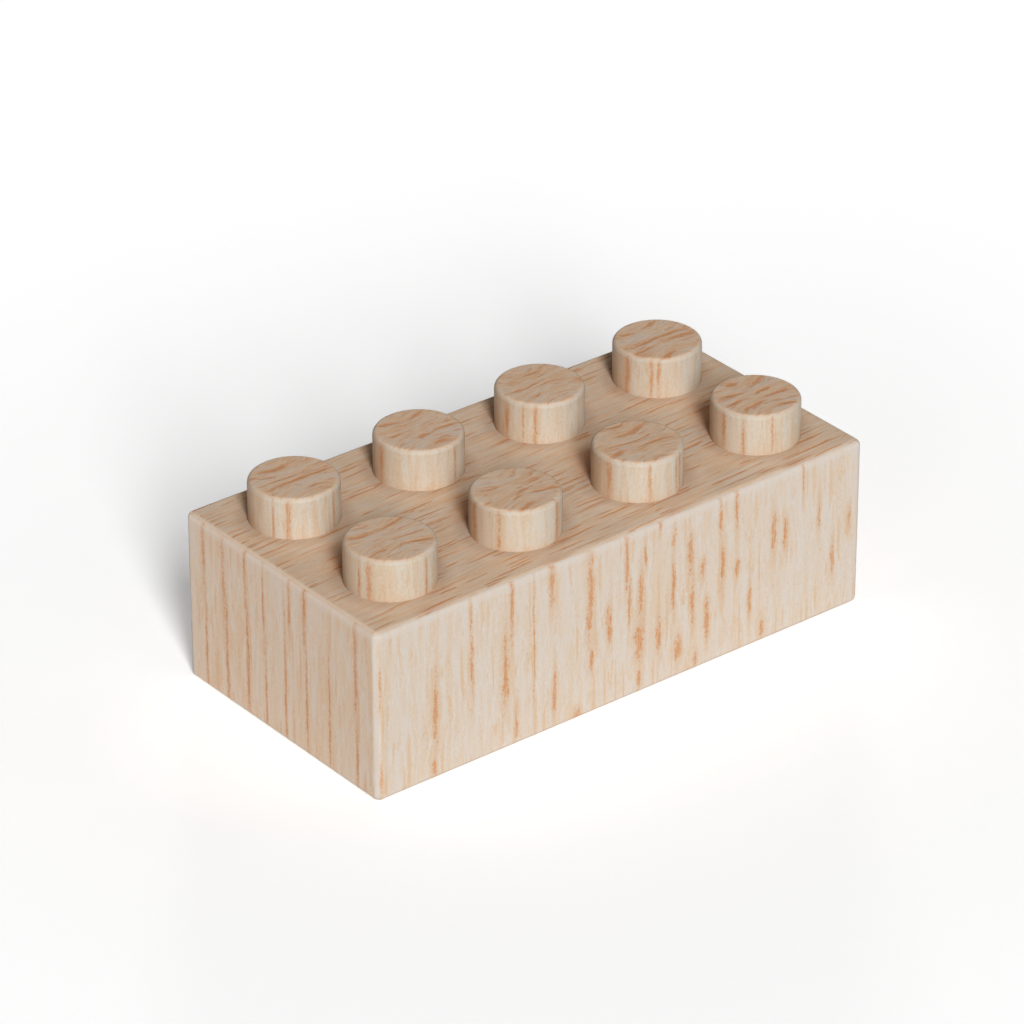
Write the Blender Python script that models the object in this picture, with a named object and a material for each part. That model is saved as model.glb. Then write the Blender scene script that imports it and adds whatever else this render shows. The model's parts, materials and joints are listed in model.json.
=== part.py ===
"""Wooden toy building brick with two rows of four studs, glued up from separate pieces.

Five boards are mitred into a box that is open below. Turned studs pass through the top board
on tenons, tubes hang from it between the studs' places and grip the studs of a brick below, and
splines cross the upright mitres. Metres, +Z up, +X along the brick, origin at the middle of the base.
"""

import math

import bmesh
import bpy
from mathutils import Matrix, Vector

# Studs: how many, how far apart, and their own size above the board
STUD_ROWS = 2
STUDS_PER_ROW = 4
STUD_PITCH = 0.032
STUD_DIAMETER = 0.0191
STUD_HEIGHT = 0.0092
STUD_RIM_RADIUS = 0.001

# How a stud is let into the top board
STUD_SEAT_DEPTH = 0.001
TENON_DIAMETER = 0.012
TENON_CHAMFER = 0.0005

# Boards
BODY_HEIGHT = 0.0392
TOP_BOARD_THICKNESS = 0.009
EDGE_RADIUS = 0.0015
RIM_LEAD_IN = 0.0006

# Tubes
TUBE_WALL = 0.0033
TUBE_SOCKET_DEPTH = 0.004
TUBE_SETBACK = 0.0005
TUBE_LEAD_IN = 0.0006

# Splines across the upright mitres
SPLINE_THICKNESS = 0.0015
SPLINE_COVER = 0.0009
SPLINE_END_COVER = 0.004

# Fits: glued faces, glued sockets, and a stud of the brick below against a wall and a tube
GLUE_LINE = 0.00002
SOCKET_CLEARANCE = 0.0001
SEAT_CLEARANCE = 0.00004
STUD_TO_WALL_CLEARANCE = 0.00045
STUD_TO_TUBE_CLEARANCE = 0.0001

# Facets of round shapes, and the bevel profile that is a quarter circle
TURNED_FACETS = 40
RIM_FACETS = 4
EDGE_FACETS = 5
QUARTER_CIRCLE = 0.5

# How far a cutter reaches past the face that it opens
CUTTER_REACH = 0.002

# Sizes that follow
BODY_LENGTH = STUDS_PER_ROW * STUD_PITCH
BODY_WIDTH = STUD_ROWS * STUD_PITCH
STUD_RADIUS = STUD_DIAMETER / 2
TENON_RADIUS = TENON_DIAMETER / 2
WALL_THICKNESS = STUD_PITCH / 2 - STUD_RADIUS - STUD_TO_WALL_CLEARANCE
TUBE_RADIUS = math.hypot(STUD_PITCH / 2, STUD_PITCH / 2) - STUD_RADIUS - STUD_TO_TUBE_CLEARANCE
BOARD_UNDERSIDE = BODY_HEIGHT - TOP_BOARD_THICKNESS
FIELD_INSET = WALL_THICKNESS + SOCKET_CLEARANCE
SPLINE_WIDTH = math.sqrt(2) * (WALL_THICKNESS - 2 * SPLINE_COVER) - SPLINE_THICKNESS
SPLINE_BOTTOM = SPLINE_END_COVER
SPLINE_TOP = BODY_HEIGHT - WALL_THICKNESS - SPLINE_END_COVER

SMOOTH_BELOW = math.radians(35)


def clear_scene():
    for leftover in list(bpy.data.objects):
        bpy.data.objects.remove(leftover)


def oak(name, red, green, blue, roughness):
    """Bare sanded wood. The colour is given as it looks, from 0 to 255 a channel."""
    material = bpy.data.materials.new(name)
    material.use_nodes = True
    shader = material.node_tree.nodes["Principled BSDF"]
    linear = [(channel / 255) ** 2.2 for channel in (red, green, blue)]
    shader.inputs["Base Color"].default_value = (*linear, 1)
    shader.inputs["Roughness"].default_value = roughness
    shader.inputs["Metallic"].default_value = 0
    material.diffuse_color = (*linear, 1)
    return material


def mesh_from(shape, name):
    """Turns an edited shape into a mesh that is smooth over its round stretches."""
    bmesh.ops.recalc_face_normals(shape, faces=shape.faces[:])
    mesh = bpy.data.meshes.new(name)
    shape.to_mesh(mesh)
    shape.free()
    mesh.shade_smooth()
    mesh.set_sharp_from_angle(angle=SMOOTH_BELOW)
    return mesh


def place(name, mesh, material, parent, location=(0, 0, 0), turn=0):
    """Adds one piece, turned about the upright axis, under the brick's empty."""
    piece = bpy.data.objects.new(name, mesh)
    piece.location = location
    piece.rotation_euler.z = turn
    piece.parent = parent
    if not mesh.materials:
        mesh.materials.append(material)
    bpy.context.scene.collection.objects.link(piece)
    return piece


def cutter(name, mesh, group, location=(0, 0, 0), turn=0):
    """Adds a shape that is only cut away from others."""
    tool = bpy.data.objects.new(name, mesh)
    tool.location = location
    tool.rotation_euler.z = turn
    tool.hide_render = True
    tool.display_type = "WIRE"
    group.objects.link(tool)
    return tool


def cutter_group(name):
    """A collection that one Boolean modifier can subtract whole."""
    group = bpy.data.collections.new(name)
    bpy.context.scene.collection.children.link(group)
    return group


def subtract(piece, group):
    """Cuts every shape of the group out of the piece."""
    boolean = piece.modifiers.new(group.name, "BOOLEAN")
    boolean.operation = "DIFFERENCE"
    boolean.operand_type = "COLLECTION"
    boolean.collection = group


def block(length, width, bottom, top):
    """A plain box on the upright axis."""
    shape = bmesh.new()
    middle = Matrix.Translation((0, 0, (bottom + top) / 2))
    size = Matrix.Diagonal((length, width, top - bottom, 1))
    bmesh.ops.create_cube(shape, size=1, matrix=middle @ size)
    return shape


def rounded_block(length, width):
    """The brick's whole outside as one block, with every arris rounded."""
    shape = block(length, width, 0, BODY_HEIGHT)
    bmesh.ops.bevel(
        shape,
        geom=shape.edges[:],
        offset=min(EDGE_RADIUS, WALL_THICKNESS / 2),
        segments=EDGE_FACETS,
        profile=QUARTER_CIRCLE,
        affect="EDGES",
    )
    return shape


def plane_off(shape, point, outward, setback=0):
    """Planes away what lies beyond a flat cut and closes the cut with one face."""
    normal = Vector(outward).normalized()
    cut = bmesh.ops.bisect_plane(
        shape,
        geom=shape.verts[:] + shape.edges[:] + shape.faces[:],
        plane_co=Vector(point) - normal * setback,
        plane_no=normal,
        clear_outer=True,
    )
    rim = [part for part in cut["geom_cut"] if isinstance(part, bmesh.types.BMEdge)]
    bmesh.ops.contextual_create(shape, geom=rim)


def turned(profile, name):
    """A body turned about the upright axis from points of radius and height.

    A profile that starts and ends on the axis makes a solid body. Any other is closed into a ring.
    """
    shape = bmesh.new()
    points = [shape.verts.new((radius, 0, height)) for radius, height in profile]
    lines = [shape.edges.new(pair) for pair in zip(points, points[1:])]
    if profile[0][0] > 0:
        lines.append(shape.edges.new((points[-1], points[0])))
    bmesh.ops.spin(
        shape,
        geom=points + lines,
        cent=(0, 0, 0),
        axis=(0, 0, 1),
        angle=math.tau,
        steps=TURNED_FACETS,
        use_merge=True,
    )
    bmesh.ops.remove_doubles(shape, verts=shape.verts[:], dist=1e-7)
    return mesh_from(shape, name)


def centred(count):
    """Places along one direction, a pitch apart and balanced about the middle."""
    return [(index - (count - 1) / 2) * STUD_PITCH for index in range(count)]


def wall_mesh(name, length, width):
    """The wall on the -Y side of a brick of this length and width.

    Its ends and its top are mitred, and its lower inner edge is eased for the studs of a brick below.
    """
    outer = -width / 2
    inner = outer + WALL_THICKNESS
    shape = rounded_block(length, width)
    plane_off(shape, (0, inner, 0), (0, 1, 0))
    plane_off(shape, (length / 2, outer, 0), (1, 1, 0), GLUE_LINE / 2)
    plane_off(shape, (-length / 2, outer, 0), (-1, 1, 0), GLUE_LINE / 2)
    plane_off(shape, (0, outer, BODY_HEIGHT), (0, 1, 1), GLUE_LINE / 2)
    plane_off(shape, (0, inner, RIM_LEAD_IN), (0, 1, -1))
    return mesh_from(shape, name)


def top_board_mesh():
    """The mitred top of the block, joined to the field that registers it inside the walls."""
    shape = rounded_block(BODY_LENGTH, BODY_WIDTH)
    plane_off(shape, (0, 0, BODY_HEIGHT - FIELD_INSET), (0, 0, -1))
    for side in (-1, 1):
        plane_off(shape, (side * BODY_LENGTH / 2, 0, BODY_HEIGHT), (side, 0, -1), GLUE_LINE / 2)
        plane_off(shape, (0, side * BODY_WIDTH / 2, BODY_HEIGHT), (0, side, -1), GLUE_LINE / 2)
    return mesh_from(shape, "top_board")


def field_mesh():
    """The raised field below the top board, which reaches up inside the board to join it."""
    length = BODY_LENGTH - 2 * FIELD_INSET
    width = BODY_WIDTH - 2 * FIELD_INSET
    top = BODY_HEIGHT - WALL_THICKNESS / 2
    return mesh_from(block(length, width, BOARD_UNDERSIDE, top), "top_board_field")


def stud_mesh():
    """A stud with its origin on the board's upper face: head, shoulder and tenon."""
    head_side = STUD_RADIUS - STUD_RIM_RADIUS
    rim_base = STUD_HEIGHT - STUD_RIM_RADIUS
    shoulder = -STUD_SEAT_DEPTH + GLUE_LINE
    tenon_end = -TOP_BOARD_THICKNESS
    profile = [(0, STUD_HEIGHT)]
    for step in range(RIM_FACETS + 1):
        angle = math.pi / 2 * step / RIM_FACETS
        across = head_side + STUD_RIM_RADIUS * math.sin(angle)
        up = rim_base + STUD_RIM_RADIUS * math.cos(angle)
        profile.append((across, up))
    profile += [
        (STUD_RADIUS, shoulder),
        (TENON_RADIUS, shoulder),
        (TENON_RADIUS, tenon_end + TENON_CHAMFER),
        (TENON_RADIUS - TENON_CHAMFER, tenon_end),
        (0, tenon_end),
    ]
    return turned(profile, "stud")


def stud_bore_mesh():
    """The stepped hole for one stud, with its origin on the board's upper face."""
    seat = STUD_RADIUS + SEAT_CLEARANCE
    hole = TENON_RADIUS + SOCKET_CLEARANCE
    above = CUTTER_REACH
    below = -TOP_BOARD_THICKNESS - CUTTER_REACH
    profile = [
        (0, above),
        (seat, above),
        (seat, -STUD_SEAT_DEPTH),
        (hole, -STUD_SEAT_DEPTH),
        (hole, below),
        (0, below),
    ]
    return turned(profile, "stud_bore")


def tube_mesh():
    """A tube with its origin on the base plane, eased inside and out where studs enter."""
    bore = TUBE_RADIUS - TUBE_WALL
    top = BOARD_UNDERSIDE + TUBE_SOCKET_DEPTH - GLUE_LINE
    eased = TUBE_SETBACK + TUBE_LEAD_IN
    profile = [
        (bore, top),
        (TUBE_RADIUS, top),
        (TUBE_RADIUS, eased),
        (TUBE_RADIUS - TUBE_LEAD_IN, TUBE_SETBACK),
        (bore + TUBE_LEAD_IN, TUBE_SETBACK),
        (bore, eased),
    ]
    return turned(profile, "grip_tube")


def tube_recess_mesh():
    """The flat-bottomed recess for one tube, with its origin on the base plane."""
    recess = TUBE_RADIUS + SOCKET_CLEARANCE
    top = BOARD_UNDERSIDE + TUBE_SOCKET_DEPTH
    below = BOARD_UNDERSIDE - CUTTER_REACH
    return turned([(0, top), (recess, top), (recess, below), (0, below)], "tube_recess")


def spline_mesh(name, clearance=0):
    """A spline across the mitre, its width along X. With a clearance it is the groove's shape."""
    width = SPLINE_WIDTH + 2 * clearance
    thickness = SPLINE_THICKNESS + 2 * clearance
    return mesh_from(block(width, thickness, SPLINE_BOTTOM - clearance, SPLINE_TOP + clearance), name)


def spline_places():
    """Name, middle and turn of the spline at each upright corner."""
    along = BODY_LENGTH / 2 - WALL_THICKNESS / 2
    across = BODY_WIDTH / 2 - WALL_THICKNESS / 2
    for end, x in (("left", -1), ("right", 1)):
        for side, y in (("front", -1), ("back", 1)):
            yield f"{side}_{end}", (x * along, y * across, 0), -x * y * math.pi / 4


def build_walls(brick, wood, grooves):
    long_wall = wall_mesh("long_wall", BODY_LENGTH, BODY_WIDTH)
    short_wall = wall_mesh("short_wall", BODY_WIDTH, BODY_LENGTH)
    quarter = math.pi / 2
    for name, mesh, turn in (
        ("front_wall", long_wall, 0),
        ("right_wall", short_wall, quarter),
        ("back_wall", long_wall, 2 * quarter),
        ("left_wall", short_wall, 3 * quarter),
    ):
        subtract(place(name, mesh, wood, brick, turn=turn), grooves)


def build_splines(brick, wood, grooves):
    spline = spline_mesh("corner_spline")
    groove = spline_mesh("spline_groove", SOCKET_CLEARANCE)
    for corner, middle, turn in spline_places():
        place(f"corner_spline_{corner}", spline, wood, brick, middle, turn)
        cutter(f"groove_{corner}", groove, grooves, middle, turn)


def build_top_board(brick, wood, bores):
    board = place("top_board", top_board_mesh(), wood, brick)
    field = cutter("top_board_field", field_mesh(), bpy.context.scene.collection)
    join = board.modifiers.new("field", "BOOLEAN")
    join.operation = "UNION"
    join.object = field
    subtract(board, bores)


def build_studs(brick, wood, bores):
    stud = stud_mesh()
    bore = stud_bore_mesh()
    for row, y in enumerate(centred(STUD_ROWS)):
        for column, x in enumerate(centred(STUDS_PER_ROW)):
            name = f"{chr(ord('a') + row)}{column + 1}"
            middle = (x, y, BODY_HEIGHT)
            place(f"stud_{name}", stud, wood, brick, middle)
            cutter(f"bore_{name}", bore, bores, middle)


def build_tubes(brick, wood, bores):
    tube = tube_mesh()
    recess = tube_recess_mesh()
    places = [(x, y, 0) for y in centred(STUD_ROWS - 1) for x in centred(STUDS_PER_ROW - 1)]
    for number, middle in enumerate(places, start=1):
        place(f"grip_tube_{number}", tube, wood, brick, middle)
        cutter(f"recess_{number}", recess, bores, middle)


def build_brick():
    brick = bpy.data.objects.new("toy_brick", None)
    bpy.context.scene.collection.objects.link(brick)
    grooves = cutter_group("spline_grooves")
    bores = cutter_group("board_bores")
    side_oak = oak("side_oak", 226, 204, 178, 0.62)
    top_oak = oak("top_oak", 212, 180, 148, 0.6)
    stud_oak = oak("stud_oak", 218, 190, 160, 0.6)
    tube_oak = oak("tube_oak", 214, 188, 156, 0.65)
    spline_oak = oak("spline_oak", 196, 164, 128, 0.7)
    build_walls(brick, side_oak, grooves)
    build_splines(brick, spline_oak, grooves)
    build_top_board(brick, top_oak, bores)
    build_studs(brick, stud_oak, bores)
    build_tubes(brick, tube_oak, bores)


clear_scene()
build_brick()
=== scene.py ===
"""Looks of the wooden toy building brick: oak materials, light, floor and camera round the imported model."""

import json
import math
import random
from collections import namedtuple

import bpy
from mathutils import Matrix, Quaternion, Vector

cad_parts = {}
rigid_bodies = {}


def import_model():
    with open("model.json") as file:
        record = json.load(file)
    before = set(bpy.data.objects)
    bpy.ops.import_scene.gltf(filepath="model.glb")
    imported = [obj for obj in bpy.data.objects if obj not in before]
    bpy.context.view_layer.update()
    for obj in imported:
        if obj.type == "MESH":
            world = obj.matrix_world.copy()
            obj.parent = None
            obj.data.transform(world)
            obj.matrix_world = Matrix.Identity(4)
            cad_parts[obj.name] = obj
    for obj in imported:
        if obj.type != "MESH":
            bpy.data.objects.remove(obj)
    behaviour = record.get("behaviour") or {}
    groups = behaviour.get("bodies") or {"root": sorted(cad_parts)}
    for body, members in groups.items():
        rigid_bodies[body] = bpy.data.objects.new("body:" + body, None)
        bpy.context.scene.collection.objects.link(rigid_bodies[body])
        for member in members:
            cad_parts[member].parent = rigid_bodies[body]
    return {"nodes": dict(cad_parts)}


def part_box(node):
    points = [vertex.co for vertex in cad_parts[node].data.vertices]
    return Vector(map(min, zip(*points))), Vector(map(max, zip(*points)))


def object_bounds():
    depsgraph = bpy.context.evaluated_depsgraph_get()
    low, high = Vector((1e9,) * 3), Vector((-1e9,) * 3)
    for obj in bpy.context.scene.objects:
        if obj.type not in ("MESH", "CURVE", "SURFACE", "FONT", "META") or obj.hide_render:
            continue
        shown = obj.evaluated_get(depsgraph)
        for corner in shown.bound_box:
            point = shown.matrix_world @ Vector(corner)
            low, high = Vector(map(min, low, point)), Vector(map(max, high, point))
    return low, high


# Start from an empty scene
for leftover in list(bpy.data.objects):
    bpy.data.objects.remove(leftover)

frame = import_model()
cad_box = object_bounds()

# Camera: places in metres, roll in degrees, lens in millimetres, and the range that it sees in metres
CAMERA_PLACE = Vector((-0.64082, -0.79933, 0.61104))
CAMERA_AIM = Vector((0.00938, 0.01701, 0.01943))
CAMERA_ROLL = -0.0866
CAMERA_LENS = 200.0
CAMERA_RANGE = (0.05, 20.0)

# Light: strengths as white paper that faces the lamp would show them, and in degrees the direction that it
# comes from and the lamp's width. The fill from behind stands so low that its shine would lie as a haze on
# the top board, so it has none
SKY_STRENGTH = 0.045
LAMPS = {
    "key_low": {"strength": 0.24, "azimuth": -26.0, "elevation": 19.0, "width": 12.0},
    "key": {"strength": 0.40, "azimuth": -26.0, "elevation": 30.0, "width": 13.0},
    "key_high": {"strength": 0.285, "azimuth": -26.0, "elevation": 42.0, "width": 14.0},
    "left": {"strength": 0.07, "azimuth": -60.0, "elevation": 14.0, "width": 20.0},
    "right": {"strength": 0.02, "azimuth": 80.0, "elevation": 40.0, "width": 12.0},
    "far_fill": {"strength": 0.26, "azimuth": 141.5, "elevation": 6.0, "width": 10.0, "shines": False},
}

# Floor: its side in metres, the grey that lights the brick from below, the lighter grey that is seen, and
# its glow, which grows between two distances from the brick's middle, in millimetres; the weaker glow near
# the brick is painted shade round it
FLOOR_SIZE = 12.0
FLOOR_GREY = 0.80
FLOOR_SHOWN = 1.20
FLOOR_GLOW = (0.235, 0.32)
FLOOR_GLOW_REACH = (60.0, 240.0)

# The brick's own measures, in millimetres, taken from the frame
MILLIMETRES = 1000.0
HALF_LENGTH, HALF_WIDTH, FULL_HEIGHT = cad_box[1] * MILLIMETRES
BODY_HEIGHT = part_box("top_board")[1].z * MILLIMETRES
STUD_HEIGHT = FULL_HEIGHT - BODY_HEIGHT
STUD_BOXES = {
    name.removeprefix("stud_"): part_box(name) for name in sorted(frame["nodes"]) if name.startswith("stud_")
}
STUD_CENTRES = {name: (low + high) / 2 * MILLIMETRES for name, (low, high) in STUD_BOXES.items()}
STUD_RADIUS = (STUD_BOXES["a1"][1].x - STUD_BOXES["a1"][0].x) / 2 * MILLIMETRES
STUD_PITCH = STUD_CENTRES["a2"].x - STUD_CENTRES["a1"].x

# Shading: the largest angle in degrees that is shaded smooth, the weld's reach in metres, and how much
# more the large faces count
SMOOTHING_ANGLE = 30.0
WELD_DISTANCE = 0.000001
FACE_WEIGHT = 80

# Level directions along x and y: the way the painted shadows fall, and the side of a stud that stays in shade
SHADOW_DIRECTION = (0.44, 0.90)
FLANK_DIRECTION = (-0.78, 0.62)

# A stud's painted shade on the board, in millimetres: the painted dark ring round its foot, how far the
# painted shadow runs on past its half of the pitch, and how far outside the stud it is gone and starts to
# fade, onward and to its sides. It starts at the stud's middle, and is full at a share of the radius
FOOT_RING = 4.2
SHADOW_LAG = 7.0
SHADOW_END = (9.5, 3.0)
SHADOW_SIDE = (4.0, -1.0)
SHADOW_FULL = 0.65

# Between these places across the brick the painted shadow weakens to this share, since light comes in at the
# back
BACK_LIGHT = {"places": (7.0, 17.0), "share": 0.3}

# A stud's own painted shade: shares of its radius between which its flank turns dark, and the height above
# the board, in millimetres, from which its foot darkens by a share
FLANK_REACH = (0.35, 1.05)
STUD_FOOT = {"height": 2.0, "share": 0.3}

# How far a face looks up, from 0 to 1, where the wood of the board's or a stud's top starts to give way to
# that of the sides, and where it has gone. The board's rounding is a share paler than the long wall
BOARD_BORDER = (0.93, 0.74)
STUD_BORDER = (0.93, 0.55)
BOARD_EDGE_PALE = 0.35

# How the lines on a stud's top fan out: the waist in square millimetres and the spread
FAN_WAIST = 45.0
FAN_SPREAD = 8.5

# The grain's turn on the top board in degrees, and how far the grain sways and ripples, in millimetres
TOP_TURN = 3.0
TOP_SWAY = 0.6
LONG_SWAY = 0.6
SHORT_SWAY = 0.3
EDGE_SWAY = 0.55
TURNED_SWAY = 0.4
WALL_RIPPLE = 0.22
STUD_RIPPLE = 0.15
TUBE_RIPPLE = 0.2

# How a wall turns paler towards its top and its ends: millimetres from the edge at which the strips
# start and are full
PALE_TOP_STRIP = (2.6, 1.6)
PALE_END_STRIP = (1.8, 0.8)
PALE_UPPER_PART = (20.0, 4.0)

# Height above the base, in millimetres, at which the end grain of the rim gives way to the walls' side
RIM_HEIGHT = (1.0, 0.3)

# Growth rings of the end grain, in millimetres: their spacing and how far from the brick their middle lies
RING_SPACING = 1.7
RING_MIDDLE = (30.0, 120.0)

# Depth of the grain in millimetres, and roughness on its smooth and its coarse fibres
WOOD_GLOSS = 0.30
SURFACES = {
    "wall": {"relief": 0.03, "roughness": (0.50, 0.66)},
    "top": {"relief": 0.03, "roughness": (0.50, 0.64)},
    "stud": {"relief": 0.05, "roughness": (0.50, 0.64)},
    "tube": {"relief": 0.04, "roughness": (0.52, 0.66)},
    "spline": {"relief": 0.05, "roughness": (0.60, 0.75)},
}

# Noise layers of the wood: lump sizes along x, y and z in millimetres, seed, detail and roughness
Layer = namedtuple("Layer", "sizes seed detail roughness", defaults=(0.0, 2.0, 0.5))
SLOW_SWAY = Layer((14.0, 14.0, 16.0), 0.0, 1.0)
QUICK_SWAY = Layer((1.6, 1.6, 2.2), 4.0)
SIDE_GRAIN = {
    "grit": Layer((0.42, 0.42, 0.6), 51.0, 3.0, 0.7),
    "bands": Layer((1.9, 1.9, 22.0), 0.0, 2.0, 0.6),
    "streaks": Layer((1.1, 1.1, 5.5), 11.0, 3.0, 0.6),
    "veins": Layer((3.0, 3.0, 22.0), 23.0),
    "lights": Layer((1.3, 1.3, 13.0), 37.0),
    "fibres": Layer((0.36, 0.36, 0.8), 31.0, 3.0, 0.65),
}
STREAK_GRAIN = {
    "grain": Layer((0.42, 0.42, 0.7), 5.0, 3.0, 0.7),
    "breaks": Layer((1.4, 1.4, 4.0), 7.0),
    "threads": Layer((0.34, 0.34, 4.0), 11.0),
}
WALL_GRAIN = {
    "dash_edges": Layer((0.42, 0.42, 0.9), 7.0, 3.0, 0.7),
    "pale_strip_edges": Layer((2.2, 2.2, 1.4), 61.0),
}
CUT_GRAIN = {
    "sway": Layer((9.0, 9.0, 9.0)),
    "pores": Layer((0.35, 0.35, 4.0), 2.0, 1.0),
}
TOP_GRAIN = {
    "sway": Layer((12.0, 3.0, 10.0), 9.0, 1.0),
    "grit": Layer((0.8, 0.35, 0.8), 18.0, 3.0, 0.7),
    "bands": Layer((50.0, 2.6, 30.0), 1.0, 3.0, 0.6),
    "tans": Layer((13.0, 0.9, 9.0), 6.0, 4.0, 0.7),
    "shades": Layer((22.0, 1.5, 9.0), 26.0),
    "hairs": Layer((5.5, 0.26, 5.0), 4.0, 3.0, 0.65),
    "pore_edges": Layer((2.0, 0.7, 4.0), 7.0),
    "border": Layer((1.5, 1.5, 1.5), 7.0),
}
STUD_GRAIN = {
    "warp_across": Layer((5.0, 5.0, 5.0), 1.0),
    "warp_along": Layer((4.0, 4.0, 4.0), 15.0),
    "grit": Layer((0.5, 0.35, 0.5), 17.0, 3.0, 0.7),
    "lines": Layer((8.0, 1.5, 9.0), 0.0, 3.0, 0.55),
    "breaks": Layer((2.2, 0.9, 3.0), 3.0, 3.0, 0.6),
    "strokes": Layer((5.0, 1.2, 7.0), 5.0, 3.0, 0.55),
    "fine": Layer((2.0, 0.30, 2.0), 9.0),
}
TURNING_MARKS = Layer((30.0, 30.0, 0.25), 3.0, 1.0)

# Scattered dashes: spacing along and across the grain in millimetres, slimness and crowding
WALL_DASHES = {"spacing": (16.0, 2.8), "slimness": 0.06, "crowding": 0.45}
TOP_PORES = (
    {"spacing": (16.0, 2.0), "slimness": 0.06, "crowding": 0.42, "seed": 1.0},
    {"spacing": (9.0, 1.6), "slimness": 0.065, "crowding": 0.27, "seed": 21.0},
)

# Streaks of the walls that the photograph doesn't show, drawn at random: lengths and widths in millimetres
BACK_STREAKS = {"seed": 5, "count": 40, "lengths": (4.0, 18.0), "widths": (0.6, 1.6)}
RIGHT_STREAKS = {"seed": 8, "count": 15, "lengths": (14.0, 34.0), "widths": (0.6, 1.0)}
STREAK_OVERHANG = 2.0

# Streaks on the side of each stud that the photograph doesn't show: angles in degrees, widths in millimetres
HIDDEN_STREAKS = {"count": 3, "angles": (-30.0, 130.0), "widths": (0.6, 1.4)}

# How far a stud's streak reaches from its middle along x and y, as a share of its width, and up and down
# the stud, and where its middle stands, as shares of the stud's height
STUD_STREAK_REACH = 0.4
STUD_STREAK_HALF = (0.4, 0.8)
STUD_STREAK_MIDDLE = (0.35, 0.65)

# Seeds of the grain. The studs' seeds grow along the brick and from the front row to the back one
TOP_EDGE_SEED = 2.0
TUBE_SEED = 6.0
TUBE_END_SEED = 8.0
SPLINE_SEED = 9.0
STUD_SEED_STEP = 10.0
BACK_ROW_SEED = 50.0

# Main flame streaks of the long wall, in millimetres: place along the wall, lower end, upper end, width
LONG_STREAKS = (
    (-62.9, 22.0, 31.5, 0.5),
    (-62.8, 2.0, 9.0, 0.5),
    (-49.4, 8.0, 24.0, 1.3),
    (-49.6, 1.0, 4.5, 1.4),
    (-39.9, 17.0, 28.0, 0.8),
    (-40.2, 31.0, 38.0, 0.6),
    (-29.7, 25.0, 40.0, 1.0),
    (-31.2, 11.0, 25.5, 1.6),
    (-28.5, 1.5, 9.5, 0.9),
    (-24.0, 12.0, 33.0, 0.4),
    (-19.3, 30.5, 40.0, 1.1),
    (-18.8, 3.0, 14.0, 0.9),
    (-9.5, 18.5, 38.0, 1.5),
    (-9.0, 11.0, 16.5, 1.0),
    (-12.8, 0.0, 2.6, 1.6),
    (-4.3, 16.0, 24.0, 1.2),
    (0.0, 27.0, 38.0, 0.9),
    (1.0, 18.5, 27.0, 0.7),
    (3.9, 20.0, 29.5, 1.2),
    (3.6, 8.5, 17.5, 2.0),
    (3.6, 0.5, 6.5, 1.1),
    (5.0, 30.0, 35.0, 0.7),
    (8.9, 36.5, 40.0, 0.8),
    (8.8, 8.0, 16.0, 1.4),
    (12.8, 31.5, 35.5, 0.9),
    (12.7, 16.0, 28.5, 1.0),
    (14.1, 4.5, 9.5, 1.7),
    (17.3, 24.0, 32.5, 1.5),
    (17.9, 12.5, 22.0, 1.1),
    (18.8, 1.0, 5.0, 0.9),
    (20.5, 21.5, 25.5, 1.2),
    (21.8, 7.5, 15.5, 1.1),
    (25.2, 29.0, 38.5, 0.8),
    (25.8, 17.0, 28.0, 1.1),
    (29.5, 30.0, 40.0, 0.9),
    (29.9, 18.7, 21.8, 1.2),
    (33.4, 7.0, 15.0, 0.8),
    (36.8, 1.0, 5.5, 0.9),
    (39.8, 21.5, 30.5, 1.3),
    (42.9, 21.0, 27.5, 1.0),
    (47.6, 31.0, 39.0, 0.6),
    (52.3, 22.0, 29.5, 0.8),
    (56.3, 10.0, 18.0, 0.8),
    (60.8, 19.0, 24.0, 0.7),
)

# Pore lines of the short wall, listed the same way from the back arris to the front one
SHORT_STREAKS = (
    (26.0, 24.0, 40.0, 0.9),
    (25.6, -2.0, 20.0, 0.6),
    (19.2, 20.0, 37.5, 1.0),
    (18.4, -2.0, 24.0, 0.8),
    (11.6, 25.0, 40.0, 0.8),
    (11.2, -2.0, 27.0, 0.9),
    (5.6, 20.0, 36.0, 0.6),
    (5.0, -2.0, 17.0, 0.6),
    (-1.6, 0.0, 26.0, 0.6),
    (-3.2, 27.0, 38.0, 0.6),
    (-8.3, 26.0, 40.0, 1.0),
    (-8.8, -2.0, 24.0, 0.6),
    (-16.4, 2.0, 25.0, 0.6),
    (-25.2, 18.0, 40.0, 1.0),
    (-25.4, -2.0, 15.0, 0.6),
)

# Streaks up each stud's side: angle round it in degrees, width in millimetres
STUD_STREAKS = {
    "a1": ((-153.0, 1.4), (-168.0, 0.7), (-78.0, 0.7)),
    "a2": ((-149.0, 1.0), (172.0, 1.4), (-68.0, 1.2)),
    "a3": ((-167.0, 1.4), (-114.0, 0.8), (-64.0, 0.9), (-72.0, 0.6)),
    "a4": ((-175.0, 1.2), (-146.0, 0.9), (-109.0, 0.7)),
    "b1": ((-134.0, 1.1), (-153.0, 0.6), (-70.0, 0.8)),
    "b2": ((179.0, 1.5), (-75.0, 0.8)),
    "b3": ((-134.0, 0.9), (-175.0, 1.1), (-150.0, 0.5)),
    "b4": ((-171.0, 1.6), (-137.0, 1.0), (-128.0, 0.7)),
}

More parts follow.
